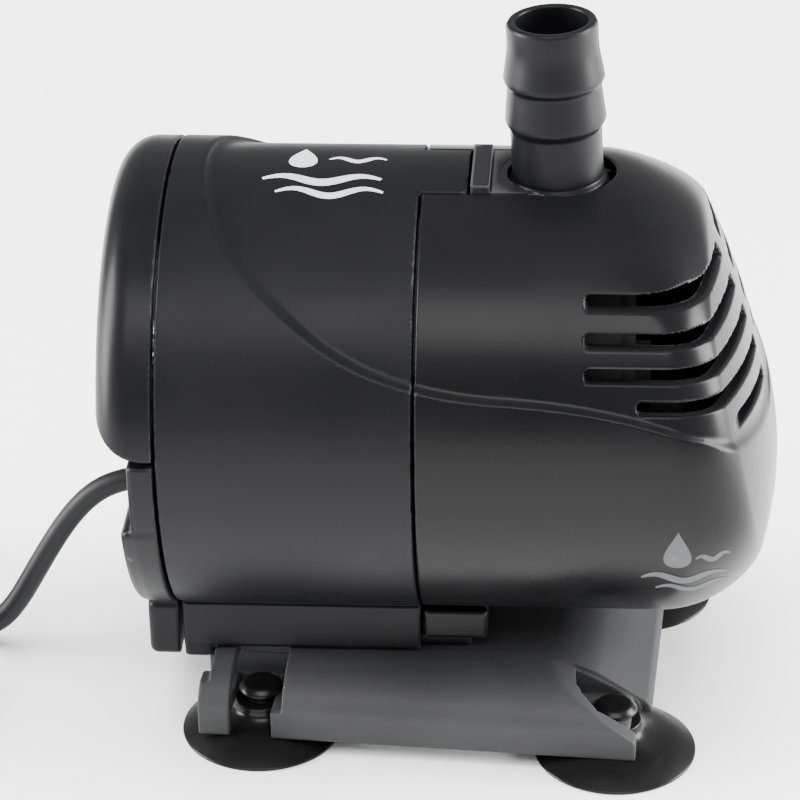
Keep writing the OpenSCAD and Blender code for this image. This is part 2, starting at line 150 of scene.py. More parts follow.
def remap(tree, value, low, high, from_low=0.3, from_high=0.7):
    """Value carried from one range to another; the default range is where noise mostly lies."""
    node = tree.nodes.new("ShaderNodeMapRange")
    node.inputs["From Min"].default_value = from_low
    node.inputs["From Max"].default_value = from_high
    node.inputs["To Min"].default_value = low
    node.inputs["To Max"].default_value = high
    tree.links.new(value, node.inputs["Value"])
    return node.outputs["Result"]


def bump(tree, shader, height, strength, distance):
    node = tree.nodes.new("ShaderNodeBump")
    node.inputs["Strength"].default_value = strength
    node.inputs["Distance"].default_value = distance
    tree.links.new(height, node.inputs["Height"])
    tree.links.new(node.outputs["Normal"], shader.inputs["Normal"])


def blotched(tree, value, dark, light):
    """Colour that drifts between two tones with value."""
    node = tree.nodes.new("ShaderNodeMix")
    node.data_type = "RGBA"
    node.inputs["A"].default_value = (*dark, 1.0)
    node.inputs["B"].default_value = (*light, 1.0)
    tree.links.new(value, node.inputs["Factor"])
    return node.outputs["Result"]


def moulded(name, colour, rough, grain=0.25, grain_size=0.35, spread=0.05, wear_and_highlight=0.35):
    """Injection-moulded plastic: fine spark texture, uneven gloss, edges painted lighter, partly as wear
    and partly as a painted highlight.
    """
    mat, tree, shader = new_material(name, colour, rough, specular=MOULDED_SPECULAR)
    coords = tree.nodes.new("ShaderNodeTexCoord")
    fine = noise(tree, coords, 1000.0 / grain_size, 3.0)
    broad = noise(tree, coords, BROAD_SCALE, 3.0)
    edge_geometry = tree.nodes.new("ShaderNodeNewGeometry")
    # sharp edges painted lighter: partly edge wear, partly a painted highlight along the rims and the step
    # line
    edge = remap(tree, edge_geometry.outputs["Pointiness"], 0.0, wear_and_highlight, WEAR_AND_HIGHLIGHT_FROM, WEAR_AND_HIGHLIGHT_TO)
    light = tuple(min(1.0, c * 2.5 + 0.08) for c in colour)
    tone = blotched(tree, remap(tree, broad, 0.0, 1.0), tuple(c * 0.86 for c in colour),
                    tuple(c * 1.12 for c in colour))
    mix = tree.nodes.new("ShaderNodeMix")
    mix.data_type = "RGBA"
    mix.inputs["B"].default_value = (*light, 1.0)
    tree.links.new(tone, mix.inputs["A"])
    tree.links.new(edge, mix.inputs["Factor"])
    tree.links.new(mix.outputs["Result"], shader.inputs["Base Color"])
    tree.links.new(remap(tree, broad, rough - spread, rough + spread), shader.inputs["Roughness"])
    bump(tree, shader, fine, grain, 0.00006)
    return mat


def rubbery(name, colour, rough, scale=900.0):
    """Soft rubber or cable jacket with a faint drawn texture."""
    mat, tree, shader = new_material(name, colour, rough, specular=RUBBER_SPECULAR)
    coords = tree.nodes.new("ShaderNodeTexCoord")
    fine = noise(tree, coords, scale, 4.0)
    broad = noise(tree, coords, 120.0, 2.0)
    tone = blotched(tree, remap(tree, broad, 0.0, 1.0), tuple(c * 0.9 for c in colour),
                    tuple(c * 1.1 for c in colour))
    tree.links.new(tone, shader.inputs["Base Color"])
    tree.links.new(remap(tree, broad, rough - 0.03, rough + 0.04), shader.inputs["Roughness"])
    bump(tree, shader, fine, 0.08, 0.00002)
    return mat


def metal(name, colour, rough, stretch=(1.0, 1.0, 1.0), scale=1500.0):
    """Metal with fine machining or lamination lines along one direction."""
    mat, tree, shader = new_material(name, colour, rough, metallic=1.0)
    coords = tree.nodes.new("ShaderNodeTexCoord")
    lines = noise(tree, coords, scale, 2.0, stretch)
    tone = blotched(tree, remap(tree, lines, 0.0, 1.0), tuple(c * 0.82 for c in colour), colour)
    tree.links.new(tone, shader.inputs["Base Color"])
    tree.links.new(remap(tree, lines, rough - 0.06, rough + 0.1), shader.inputs["Roughness"])
    bump(tree, shader, lines, 0.2, 0.00004)
    return mat


MATERIALS = {
    "housing": moulded("housing_plastic", (0.004, 0.004, 0.005), 0.42, 0.35, 0.42),
    "cap": moulded("cap_plastic", (0.004, 0.004, 0.005), 0.34, 0.10, 0.5),
    "cover": moulded("cover_plastic", (0.004, 0.004, 0.0045), 0.30, 0.12, 0.5),
    "inner_plastic": moulded("inner_plastic", (0.008, 0.008, 0.009), 0.42, 0.2),
    "core_steel": metal("core_steel", (0.42, 0.43, 0.45), 0.42, (30.0, 1.0, 1.0), 60.0),
    "bobbin": moulded("bobbin_plastic", (0.72, 0.7, 0.62), 0.45, 0.15),
    "copper": metal("enamelled_copper", (0.6, 0.27, 0.1), 0.3, (1.0, 1.0, 12.0), 300.0),
    "resin": moulded("cast_resin", (0.015, 0.015, 0.015), 0.25, 0.05, 2.0),
    "ceramic": moulded("ground_ceramic", (0.86, 0.85, 0.82), 0.22, 0.05, 0.6),
    "magnet": moulded("ferrite", (0.05, 0.05, 0.052), 0.38, 0.3),
    "impeller_plastic": moulded("impeller_plastic", (0.55, 0.56, 0.58), 0.35, 0.1),
    "seal": rubbery("seal_rubber", (0.015, 0.015, 0.015), 0.4),
    "steel": metal("stainless_steel", (0.6, 0.6, 0.62), 0.28),
    "barb": moulded("barb_plastic", (0.004, 0.004, 0.005), 0.38, 0.2, 0.45),
    "bracket": moulded("bracket_plastic", (0.034, 0.034, 0.037), 0.5, 0.45, 0.5, wear_and_highlight=0.0),
    "cups": rubbery("cup_rubber", (0.005, 0.005, 0.005), 0.30, 500.0),
    "cable": rubbery("cable_jacket", (0.005, 0.005, 0.006), 0.5, 1200.0),
    "tie": moulded("tie_plastic", (0.03, 0.03, 0.03), 0.4),
    "plug": moulded("plug_plastic", (0.02, 0.02, 0.02), 0.45),
    "print_light": moulded("light_pad_print", (0.40, 0.43, 0.44), 0.5, 0.05),
    "print_grey": moulded("grey_pad_print", (0.075, 0.078, 0.08), 0.45, 0.05),
    "pins": metal("plated_brass", (0.7, 0.69, 0.66), 0.2),
}


def dress_cad_nodes():
    """Every carried-over node takes the material of its slot in the record."""
    for part in frame["record"]["subparts"]:
        obj = frame["nodes"].get(part["node"])
        if obj is None:
            continue
        obj.data.materials.clear()
        obj.data.materials.append(MATERIALS[part["material_slot"]])


# ---------------------------------------------------------------- distance fields
# Each moulding is a signed distance in millimetres, negative inside, evaluated on numpy arrays.
def both(a, b, r=0.0):
    """Intersection whose edge is rounded to radius r."""
    if np.all(np.asarray(r) <= 0.0):
        return np.maximum(a, b)
    u, v = np.maximum(a + r, 0.0), np.maximum(b + r, 0.0)
    return np.minimum(np.maximum(a, b), -r) + np.sqrt(u * u + v * v)


def either(a, b, r=0.0):
    """Union whose inner corner is filled to radius r."""
    return -both(-a, -b, r)


def without(a, b, r=0.0):
    """a less b, with the new edge rounded to radius r."""
    return both(a, -b, r)


def between(v, low, high):
    return np.maximum(low - v, v - high)


def box_field(x, y, z, low, high, r=0.0):
    """Box between two corners with edges rounded to r."""
    out = None
    for v, a, b in zip((x, y, z), low, high):
        d = between(v, a, b)
        out = d if out is None else both(out, d, r)
    return out


def tube_x(y, z, r):
    return np.sqrt(y * y + (z - AXIS_Z) ** 2) - r


def bezier(a, b, c, d, n):
    t = np.linspace(0.0, 1.0, n, endpoint=False)[:, None]
    s = 1.0 - t
    a, b, c, d = (np.array(p, float) for p in (a, b, c, d))
    return s ** 3 * a + 3 * s * s * t * b + 3 * s * t * t * c + t ** 3 * d


# line of the step between hood and raised shell, in x and z, from the rear top to across the front
STEP_LINE = np.concatenate([
    [[-42.4, 130.0]],
    bezier((-42.4, 103.2), (-40.5, 98.2), (-34.5, 93.2), (-24.1, 86), 12),
    bezier((-24.1, 86), (-14.5, 79.2), (-4, 76.6), (8, 75.7), 8),
    bezier((8, 75.7), (22, 75.2), (34, 73.2), (44, 69.2), 10),
    bezier((44, 69.2), (47.5, 67.5), (52.5, 63.2), (56, 60.9), 6),
    [[56.0, 60.9], [90.0, 60.4]],
])


def above_step(x, z):
    """Signed distance in the side view to the step line, negative on the raised side below it."""
    x, z = np.broadcast_arrays(x, z)
    best = np.full(x.shape, 1e9)
    for (ax, az), (bx, bz) in zip(STEP_LINE[:-1], STEP_LINE[1:]):
        dx, dz = bx - ax, bz - az
        t = np.clip(((x - ax) * dx + (z - az) * dz) / (dx * dx + dz * dz), 0.0, 1.0)
        best = np.minimum(best, np.hypot(x - ax - t * dx, z - az - t * dz))
    order = np.argsort(STEP_LINE[:, 0], kind="stable")
    height = np.interp(x, STEP_LINE[order, 0], STEP_LINE[order, 1])
    raised = (z < height) | (x < -42.4)
    return np.where(raised, -best, best)


def stepped(raised, hood, x, z):
    """Hood form plus the raised shell below the step line, with a crisp outer edge and a soft root."""
    shell = both(raised, above_step(x, z), 0.45)
    return either(shell, hood, 0.9)


class Mesher:
    """Turns a distance field into a closed quad mesh whose normals come from the field itself."""

    def __init__(self, low, high, cell):
        self.cell = cell * COARSER
        self.axes = [np.arange(a - 2 * self.cell, b + 2.5 * self.cell, self.cell)
                     for a, b in zip(low, high)]

    def build(self, field):
        xs, ys, zs = self.axes
        values = field(xs[:, None, None], ys[None, :, None], zs[None, None, :])
        values = np.broadcast_to(values, (len(xs), len(ys), len(zs)))
        points, quads = self.nets(values)
        for _ in range(4):
            slope, here = self.gradient(field, points)
            length2 = np.maximum((slope ** 2).sum(1), 0.25)
            shift = -slope * (here / length2)[:, None]
            size = np.linalg.norm(shift, axis=1)
            shift *= np.minimum(1.0, 0.5 * self.cell / np.maximum(size, 1e-9))[:, None]
            points = points + shift
        slope, _ = self.gradient(field, points, 0.08)
        normals = slope / np.maximum(np.linalg.norm(slope, axis=1), 1e-9)[:, None]
        return points, quads, normals

    @staticmethod
    def gradient(field, points, eps=0.04):
        x, y, z = points.T
        here = field(x, y, z)
        parts = [field(x + eps, y, z) - field(x - eps, y, z),
                 field(x, y + eps, z) - field(x, y - eps, z),
                 field(x, y, z + eps) - field(x, y, z - eps)]
        return np.stack(parts, 1) / (2 * eps), here

    def nets(self, values):
        """Surface nets: one vertex in each mixed cell, one quad across each crossed grid edge."""
        inside = values < 0.0
        shape = np.array(values.shape) - 1
        total = np.zeros((*shape, 3))
        count = np.zeros(shape, int)
        for axis in range(3):
            others = [a for a in range(3) if a != axis]
            for i in (0, 1):
                for j in (0, 1):
                    start = [slice(0, -1)] * 3
                    start[others[0]] = slice(i, i + shape[others[0]])
                    start[others[1]] = slice(j, j + shape[others[1]])
                    end = list(start)
                    end[axis] = slice(1, None)
                    a, b = values[tuple(start)], values[tuple(end)]
                    crossed = (a < 0.0) != (b < 0.0)
                    t = np.where(crossed, a / np.where(crossed, a - b, 1.0), 0.0)
                    total[..., axis] += t
                    total[..., others[0]] += crossed * i
                    total[..., others[1]] += crossed * j
                    count += crossed
        active = count > 0
        number = np.full(shape, -1)
        number[active] = np.arange(active.sum())
        cells = np.argwhere(active)
        origin = np.array([a[0] for a in self.axes])
        points = origin + (cells + total[active] / count[active][:, None]) * self.cell
        quads = []
        for axis in range(3):
            u, v = [a for a in range(3) if a != axis]
            low = [slice(1, -1)] * 3
            high = [slice(1, -1)] * 3
            low[axis] = slice(0, -1)
            high[axis] = slice(1, None)
            a, b = inside[tuple(low)], inside[tuple(high)]
            at = np.argwhere(a != b)
            leaving = a[tuple(at.T)]
            at[:, u] += 1
            at[:, v] += 1
            ring = []
            for du, dv in ((-1, -1), (0, -1), (0, 0), (-1, 0)):
                c = at.copy()
                c[:, u] += du
                c[:, v] += dv
                ring.append(number[tuple(c.T)])
            quad = np.stack(ring, 1)
            flip = leaving if axis != 1 else ~leaving
            quad[~flip] = quad[~flip][:, ::-1]
            quads.append(quad)
        return points, np.concatenate(quads)


def add_mesh(name, points, faces, material, normals=None):
    """Object from points in millimetres; faces is an array of quads or a list of polygons."""
    if isinstance(faces, np.ndarray):
        faces = faces.tolist()
    mesh = bpy.data.meshes.new(name)
    mesh.from_pydata((np.asarray(points) * MM).tolist(), [], faces)
    mesh.materials.append(MATERIALS[material])
    mesh.polygons.foreach_set("use_smooth", np.ones(len(mesh.polygons), bool))
    mesh.update()
    if normals is not None:
        mesh.normals_split_custom_set_from_vertices(normals.tolist())
    obj = bpy.data.objects.new(name, mesh)
    bpy.context.collection.objects.link(obj)
    return obj


def moulding(name, field, low, high, cell, material, body, *nodes):
    """A piece meshed from its field, riding on a body and standing for CAD nodes."""
    points, quads, normals = Mesher(low, high, cell).build(field)
    obj = add_mesh(name, points, quads, material, normals)
    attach(obj, body)
    if nodes:
        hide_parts(*nodes)
    return obj


# ---------------------------------------------------------------- motor housing
def foot_profile(x, y, z):
    """The foot under the housing, deeper behind the bracket's stop, with its tongue and rail."""
    rear = CAP_X + GROOVE
    front = COVER_X - GROOVE / 2
    shallow = box_field(x, y, z, (rear, -FOOT_HALF_Y, FOOT_LOW_Z), (front, FOOT_HALF_Y, FOOT_TOP_Z), 0.6)
    deep = box_field(x, y, z, (rear, -FOOT_HALF_Y, FOOT_DEEP_Z), (-42.3, FOOT_HALF_Y, FOOT_TOP_Z), 0.6)
    inner = box_field(x, y, z, (-40.0, -20.0, FOOT_LOW_Z), (-6.0, 20.0, 40.0))
    tongue = box_field(x, y, z, (COVER_X - 2.0, -19.5, FOOT_LOW_Z), (4.1, 19.5, 17.4), 0.5)
    stem = box_field(x, y, z, (-40.0, -6.0, 12.0), (-1.0, 6.0, 18.0), 0.2)
    flange = box_field(x, y, z, (-40.0, -10.0, 10.6), (-1.0, 10.0, 12.9), 0.3)
    foot = either(either(shallow, deep, 0.3), inner)
    return either(either(foot, tongue, 0.2), either(stem, flange, 0.3), 0.2)


def housing_field(x, y, z):
    ends = between(x, CAP_X + GROOVE / 2, COVER_X - GROOVE / 2)
    raised = both(tube_x(y, z, SHELL_R), ends, PART_EDGE)
    hood = both(tube_x(y, z, HOOD_R), ends, PART_EDGE)
    body = stepped(raised, hood, x, z)
    body = either(body, foot_profile(x, y, z), 0.5)
    tongue = both(tube_x(y, z, HOOD_R), between(x, -8.0, 3.4), 0.3)
    tongue = both(tongue, np.abs(y) - PAD_HALF_Y, 0.3)
    body = either(body, np.maximum(tongue, 92.0 - z))
    hollow = np.maximum(tube_x(y, z, HOLLOW_R), between(x, CAP_X - 4.0, COVER_X - 3.0))
    mouth = np.maximum(tube_x(y, z, 36.0), between(x, COVER_X - 6.0, 20.0))
    return without(without(body, hollow), mouth, 0.3)


def make_housing():
    moulding("motor_housing_shell", housing_field, (-48.5, -42.0, 10.4), (4.4, 42.0, 103.0), 0.6,
             "housing", "motor", "motor_housing")


# ---------------------------------------------------------------- rear pieces
def cap_field(x, y, z):
    """Rear cap: a cup over the top of the rear, cut level below with its corner sloped off."""
    outer = both(tube_x(y, z, SHELL_R), between(x, -HALF_LEN, CAP_X + 20.0), 6.0)
    outer = both(outer, x - (CAP_X - GROOVE / 2), PART_EDGE)
    low = both(CAP_CUT_Z - z, (-HALF_LEN + 3.6 - x) * 0.8 - (z - CAP_CUT_Z) * 0.6, 4.0)
    outer = both(outer, low, 0.8)
    inner = both(tube_x(y, z, HOLLOW_R), between(x, -HALF_LEN + WALL, CAP_X + 20.0), 3.0)
    return without(outer, inner, 0.2)


def cable_cover_field(x, y, z):
    """Lower rear block, deeper below than above, with the rear end of the foot and the cable's hole."""
    top = CAP_CUT_Z - 0.8
    front = CAP_X + 9.0
    round_body = tube_x(y, z, SHELL_R)
    upper = both(both(round_body, between(x, -53.0, front), 1.2), between(z, 11.0, top), 0.5)
    lower = both(both(round_body, between(x, -55.0, front), 1.6), between(z, 11.0, 50.2), 1.4)
    foot = box_field(x, y, z, (-54.1, -FOOT_HALF_Y, FOOT_DEEP_Z), (front, FOOT_HALF_Y, FOOT_TOP_Z), 1.6)
    body = either(either(upper, lower, 0.9), foot, 0.8)
    body = both(body, x - (CAP_X - GROOVE / 2), PART_EDGE)
    hollow = np.maximum(tube_x(y, z, HOLLOW_R), between(x, -50.5, front))
    hollow = np.maximum(hollow, between(z, 21.0, top - WALL))
    hole = np.maximum(np.sqrt(y * y + (z - CABLE_EXIT_Z) ** 2) - 3.6, between(x, -70.0, -40.0))
    return without(without(body, hollow), hole, 0.6)


def make_rear():
    moulding("rear_cap_shell", cap_field, (-58.8, -42.0, 64.0), (-48.0, 42.0, 103.0), 0.55,
             "cap", "motor", "rear_cap")
    moulding("cable_cover_shell", cable_cover_field, (-55.4, -42.0, 12.8), (-48.0, 42.0, 64.4), 0.5,
             "housing", "motor", "cable_cover")


# ---------------------------------------------------------------- strainer cover
def eased(t):
    """Smooth step from 0 to 1."""
    t = np.clip(t, 0.0, 1.0)
    return t * t * (3.0 - 2.0 * t)


def cover_form(x, y, z, inset, front_inset):
    """Cylinder closed by a front that curves back above and below its middle and is slightly crowned."""
    above, below = np.maximum(z - 38.0, 0.0), np.maximum(55.0 - z, 0.0)
    reach = HALF_LEN + 0.5 - front_inset - 0.0047 * above ** 2 - 0.006 * below ** 2 - y * y / 210.0
    lean = np.sqrt(1.0 + (0.0094 * above - 0.012 * below) ** 2 + (y / 105.0) ** 2)
    corner = 7.6 + 6.4 * eased((z - 84.0) / 14.0) + 5.0 * eased((52.0 - z) / 22.0)
    return both(tube_x(y, z, SHELL_R - inset), (x - reach) / lean, corner - inset)


def slot_field(x, y, z, level, start):
    """A slot on both sides of the rib in the middle, rising outwards, from start to the front."""
    side = np.abs(y)
    tilt = math.radians(4.0 + 1.3 * level)
    middle = SLOT_TOP_Z - SLOT_PITCH * level + np.maximum(side - SLOT_RIB, 0.0) * math.tan(tilt)
    height = np.abs(z - middle) * math.cos(tilt) - 1.1
    ends = both(start - x, SLOT_RIB - side, 0.8)
    return both(height, ends, 0.9)


def cover_field(x, y, z):
    rear = COVER_X + GROOVE / 2
    raised = both(cover_form(x, y, z, 0.0, 0.0), rear - x, PART_EDGE)
    hood = both(cover_form(x, y, z, STEP, HOOD_FRONT), rear - x, PART_EDGE)
    body = stepped(raised, hood, x, z)
    block = box_field(x, y, z, (rear, -FOOT_HALF_Y, 17.9), (7.0, FOOT_HALF_Y, 23.7), 0.7)
    body = either(body, block, 0.4)
    hollow = np.maximum(cover_form(x, y, z, STEP + WALL, HOOD_FRONT + WALL), -20.0 - x)
    body = without(body, hollow, 0.2)
    notch = np.where(x > NOTCH_X, np.hypot(x - NOTCH_X, y), np.abs(y)) - NOTCH_R
    body = without(body, np.maximum(notch, 85.0 - z), 0.45)
    slots = slot_field(x, y, z, 0, SLOT_STARTS[0])
    for level in range(1, len(SLOT_STARTS)):
        slots = np.minimum(slots, slot_field(x, y, z, level, SLOT_STARTS[level]))
    return without(body, slots, 0.4)


def make_cover():
    moulding("strainer_cover_shell", cover_field, (-4.6, -42.0, 17.5), (59.2, 42.0, 103.0), 0.5,
             "cover", "cover", "strainer_cover")


# ---------------------------------------------------------------- bracket
def channel_section(v, z, inset, r):
    """Section of a skid: upright outer face, then an elliptic shoulder to the flat top."""
    wide = 12.0 - inset
    tall = 6.9 - inset
    a = np.maximum(v - 22.7, 0.0) / wide
    b = np.maximum(z - 8.0, 0.0) / tall
    e = np.maximum(np.hypot(a, b), 1e-6)
    shoulder = (e - 1.0) * e / np.maximum(np.hypot(a / wide, b / tall), 1e-6)
    return both(shoulder, (20.0 + inset) - v, r)


def skid_field(u, v, z):
    """Channel skid with sloped front, windows over the cups' necks and a web that holds the cups."""
    outer = both(channel_section(v, z, 0.0, 0.7), 3.0 - z, 0.5)
    inner = np.maximum(channel_section(v, z, 1.8, 0.3), 1.0 - z)
    web = np.maximum(between(z, 6.6, 8.4), np.minimum(between(u, -40.0, -26.0), between(u, 25.0, 35.0)))
    web = np.minimum(web, both(both(31.1 - v, 27.0 - u, 0.5), z - 13.0, 0.5))
    channel = np.minimum(without(outer, inner, 0.25), np.maximum(web, outer + 0.3))
    shallow = (u - 27.7) * 0.266 + (z - 12.9) * 0.964
    steep = (u - 27.7) * 0.586 + (z - 12.9) * 0.810
    front = both(both(shallow, steep, 3.0), u - 36.2, 0.5)
    skid = both(both(channel, -42.2 - u, 0.4), front, 0.4)
    window = box_field(u, v, z, (-36.5, 22.0, -5.0), (-29.0, 40.0, 20.0), 0.5)
    window = np.minimum(window, box_field(u, v, z, (-36.5, 22.0, 8.5), (-27.0, 40.0, 20.0), 0.5))
    skid = without(skid, window, 0.25)
    return without(skid, box_field(u, v, z, (-60.0, 0.0, 12.5), (-40.5, 60.0, 30.0), 0.3), 0.3)


def plate_field(u, v, z):
    """Plate between the skids, which slopes down to a lip at the front."""
    ramp = (u - 25.0) * 0.5385 + (z - PLATE_TOP) * 0.8426
    top = both(both(z - PLATE_TOP, ramp, 2.5), u - 38.3, 1.2)
    under = np.maximum(np.maximum(z - (PLATE_TOP - PLATE_THICK), ramp + PLATE_THICK), u - 36.6)
    sheet = both(np.maximum(top, -under), between(z, 4.4, 20.0), 0.5)
    return both(sheet, both(v - 21.4, -40.0 - u, 0.3), 0.6)


def bracket_field(x, y, z):
    """The bracket, turned by its yaw; the gap for the rail stays in line with the pump."""
    c, s = math.cos(BRACKET_YAW), math.sin(BRACKET_YAW)
    u = x * c - y * s
    v = np.abs(x * s + y * c)
    rail_gap = both(np.abs(y) - 6.3, between(x, -60.0, -0.4), 0.6)
    plate = without(plate_field(u, v, z), rail_gap, 0.2)
    return either(skid_field(u, v, z), plate, 0.3)


def make_bracket():
    moulding("bracket_shell", bracket_field, (-46.0, -38.4, 2.8), (40.6, 38.4, 15.1), 0.4,
             "bracket", "bracket", "bracket")


# ---------------------------------------------------------------- turned pieces
def turned(name, profile, material, body, place, nodes, lean=0.0, sides=96, ripple=None):
    """Lathe piece from an (r, height) profile whose ends lie on the axis or meet."""
    profile = np.array(profile, float)
    turn = Matrix.Rotation(-lean, 4, "Y")
    place = Vector(place)
    points, faces = [], []
    for k in range(sides):
        a = 2 * math.pi * k / sides
        for r, h in profile:
            wide = r + (ripple(a, r, h) if ripple else 0.0)
            points.append(tuple(turn @ Vector((wide * math.cos(a), wide * math.sin(a), h)) + place))
    n = len(profile)
    for k in range(sides):
        for i in range(n - 1):
            a, b = k * n + i, ((k + 1) % sides) * n + i
            faces.append([a, b, b + 1, a + 1])
    obj = add_mesh(name, points, faces, material)
    weld(obj)
    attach(obj, body)
    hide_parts(*nodes)


def weld(obj):
    """Joins the points that meet and drops the empty faces there."""
    bm = bmesh.new()
    bm.from_mesh(obj.data)
    bmesh.ops.remove_doubles(bm, verts=bm.verts, dist=0.000004)
    bmesh.ops.dissolve_degenerate(bm, edges=bm.edges, dist=0.000002)
    bmesh.ops.recalc_face_normals(bm, faces=bm.faces)
    bm.to_mesh(obj.data)
    bm.free()


def rounded(points, radii, steps=5):
    """Outline with each corner replaced by a short arc-like curve of the given reach."""
    points = [np.array(p, float) for p in points]
    out = [points[0]]
    for before, here, after, r in zip(points, points[1:], points[2:], radii):
        if r <= 0:
            out.append(here)
            continue
        a = before - here
        b = after - here
        r_a = min(r, 0.48 * np.linalg.norm(a))
        r_b = min(r, 0.48 * np.linalg.norm(b))
        p, q = here + a / np.linalg.norm(a) * r_a, here + b / np.linalg.norm(b) * r_b
        for i in range(steps + 1):
            t = i / steps
            out.append((1 - t) ** 2 * p + 2 * t * (1 - t) * here + t * t * q)
    out.append(points[-1])
    return out


def make_barb():
    """Hose barb with two ribs, as heights along the outlet from the motor axis."""
    top, bore, rib, stem, base, low = BARB_TOP, 6.15, 8.55, 7.75, 8.7, 30.7
    outline = [(bore, low), (base, low), (base, 38.6), (stem + 0.15, 39.3),
               (stem, top - 19.5), (rib, top - 18.3), (rib, top - 17.6), (stem + 0.2, top - 12.0),
               (stem + 0.2, top - 11.6), (rib, top - 10.7), (rib, top - 10.0), (stem - 0.05, top - 5.0),
               (stem - 0.05, top), (bore, top), (bore, low)]
    radii = [0.3, 0.4, 0.3, 0.4, 0.4, 0.35, 0.4, 0.12, 0.25, 0.35, 1.6, 0.9, 0.6]
    origin = (BARB_X + (PAD_TOP_Z - AXIS_Z) * math.tan(BARB_LEAN), 0.0, AXIS_Z)

    def mould_line(a, r, h):
        """Faint flash line on both sides of the moulding."""
        if r <= bore + 0.5 or h <= 42.0:
            return 0.0
        return 0.12 * math.exp(-(abs(math.sin(a)) * r / 0.18) ** 2)

    turned("hose_barb_body", rounded(outline, radii), "barb", "motor", origin, ("hose_barb",),
           BARB_LEAN, 160, mould_line)


# ---------------------------------------------------------------- pad prints
def ribbon(path, half_width):
    """Grid of plane points across a stroke that follows path, from 0 to 1."""
    rows = []
    for t in np.linspace(0.0, 1.0, 48):
        a, b = np.array(path(t)), np.array(path(min(t + 0.01, 1.01)))
        side = np.array([a[1] - b[1], b[0] - a[0]])
        side = side / np.linalg.norm(side) * half_width(t)
        rows.append([a - side, a, a + side])
    return np.array(rows)


def drop(centre, size):
    """Grid of plane points that fills a water drop, point up."""
    t = np.linspace(0.0, 2 * math.pi, 56)
    outline = np.stack([size * 0.78 * np.sin(t) * np.sin(t / 2) ** 1.6, size * np.cos(t)], 1)
    inner = np.array([0.0, -0.3 * size])
    return np.array([[inner + (p - inner) * k + centre for k in (0.02, 0.35, 0.7, 1.0)]
                     for p in outline])


def wave(left, right, height, level, half_width):
    """Stroke of one and a half waves that thins towards both ends."""
    def path(t):
        return left + (right - left) * t, level + height * math.sin(3 * math.pi * t)
    return ribbon(path, lambda t: half_width * math.sin(math.pi * (0.06 + 0.88 * t)) ** 0.7)


def pad_print(name, shapes, to_surface, material, body):
    """Thin printed motif laid on a surface."""
    points, faces = [], []
    for grid in shapes:
        rows, cols = grid.shape[:2]
        start = len(points)
        points += [to_surface(*p) for p in grid.reshape(-1, 2)]
        faces += [(start + i * cols + j, start + i * cols + j + 1, start + (i + 1) * cols + j + 1,
                   start + (i + 1) * cols + j) for i in range(rows - 1) for j in range(cols - 1)]
    obj = add_mesh(name, points, faces, material)
    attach(obj, body)


def on_hood(a, b):
    """Lay a plane point on the top of the housing; b runs over the shell towards the far side."""
    angle = b / HOOD_R
    r = HOOD_R + 0.05
    return (-21.5 + a, r * math.sin(angle), AXIS_Z + r * math.cos(angle))


def on_cover_side(a, b):
    """Move a plane point from beside the pump onto the cover's near side."""
    x, y, z = 41.5 + a, -50.0, 46.0 + b
    for _ in range(60):
        y += 0.9 * float(cover_form(np.array(x), np.array(y), np.array(z), 0.0, 0.0) - 0.06)
    return (x, y, z)


def make_prints():
    """Generic drop and waves, on the top of the housing and on the cover's side."""
    top = [drop(np.array([-4.0, 3.2]), 4.6), wave(-10.5, 10.0, 1.0, -5.4, 1.05),
           wave(-8.0, 10.5, 1.0, -9.2, 0.8), wave(0.5, 10.5, 0.8, 2.0, 0.7)]
    pad_print("housing_print", top, on_hood, "print_light", "motor")
    side = [drop(np.array([-1.5, 2.6]), 4.4), wave(-7.5, 7.0, 0.9, -4.6, 0.9),
            wave(-5.0, 7.5, 0.8, -7.8, 0.7), wave(1.6, 7.4, 0.6, 0.6, 0.6)]
    pad_print("cover_print", side, on_cover_side, "print_grey", "cover")


def make_cups():
    """Four suction cups, each with its neck through the web and a head above it."""
    outline = [(0.0, 2.0), (5.0, 1.9), (10.0, 1.1), (CUP_R - 0.5, 0.02), (CUP_R, 0.1), (CUP_R, 0.5),
               (11.5, 2.1), (7.4, 3.4), (5.1, 4.6), (4.7, 5.6), (4.7, 6.6), (2.5, 6.6), (2.5, 8.4),
               (4.0, 8.4), (3.9, 8.9), (2.9, 9.9), (0.0, 9.9)]
    radii = [1.0, 2.0, 0.3, 0.2, 0.2, 2.0, 2.0, 1.2, 0.5, 0.3, 0.2, 0.2, 0.2, 0.3, 0.6]
    profile = rounded(outline, radii, 4)
    c, s = math.cos(BRACKET_YAW), math.sin(BRACKET_YAW)
    for name, u in (("rear", -CUP_X), ("front", CUP_X)):
        for end, v in (("near", -CUP_Y), ("far", CUP_Y)):
            place = (u * c + v * s, v * c - u * s, 0.0)
            turned(f"suction_cup_{name}_{end}", profile, "cups", "bracket", place, (f"cup_{name}_{end}",))


# ---------------------------------------------------------------- outlet pad in the cover's notch
def pad_field(x, y, z):
    """Pad between the notch's edges with a latch rib at its rear and a seat for the barb."""
    low = box_field(x, y, z, (3.9, -PAD_HALF_Y, 94.0), (BARB_X, PAD_HALF_Y, 100.1), 0.4)
    rib = box_field(x, y, z, (3.9, -PAD_HALF_Y, 95.0), (7.3, PAD_HALF_Y, PAD_TOP_Z), 0.6)
    body = either(low, rib, 0.5)
    bore = np.hypot(x - BARB_X + (z - PAD_TOP_Z) * math.tan(BARB_LEAN), y) - 8.72
    return without(body, np.maximum(bore, 90.0 - z))


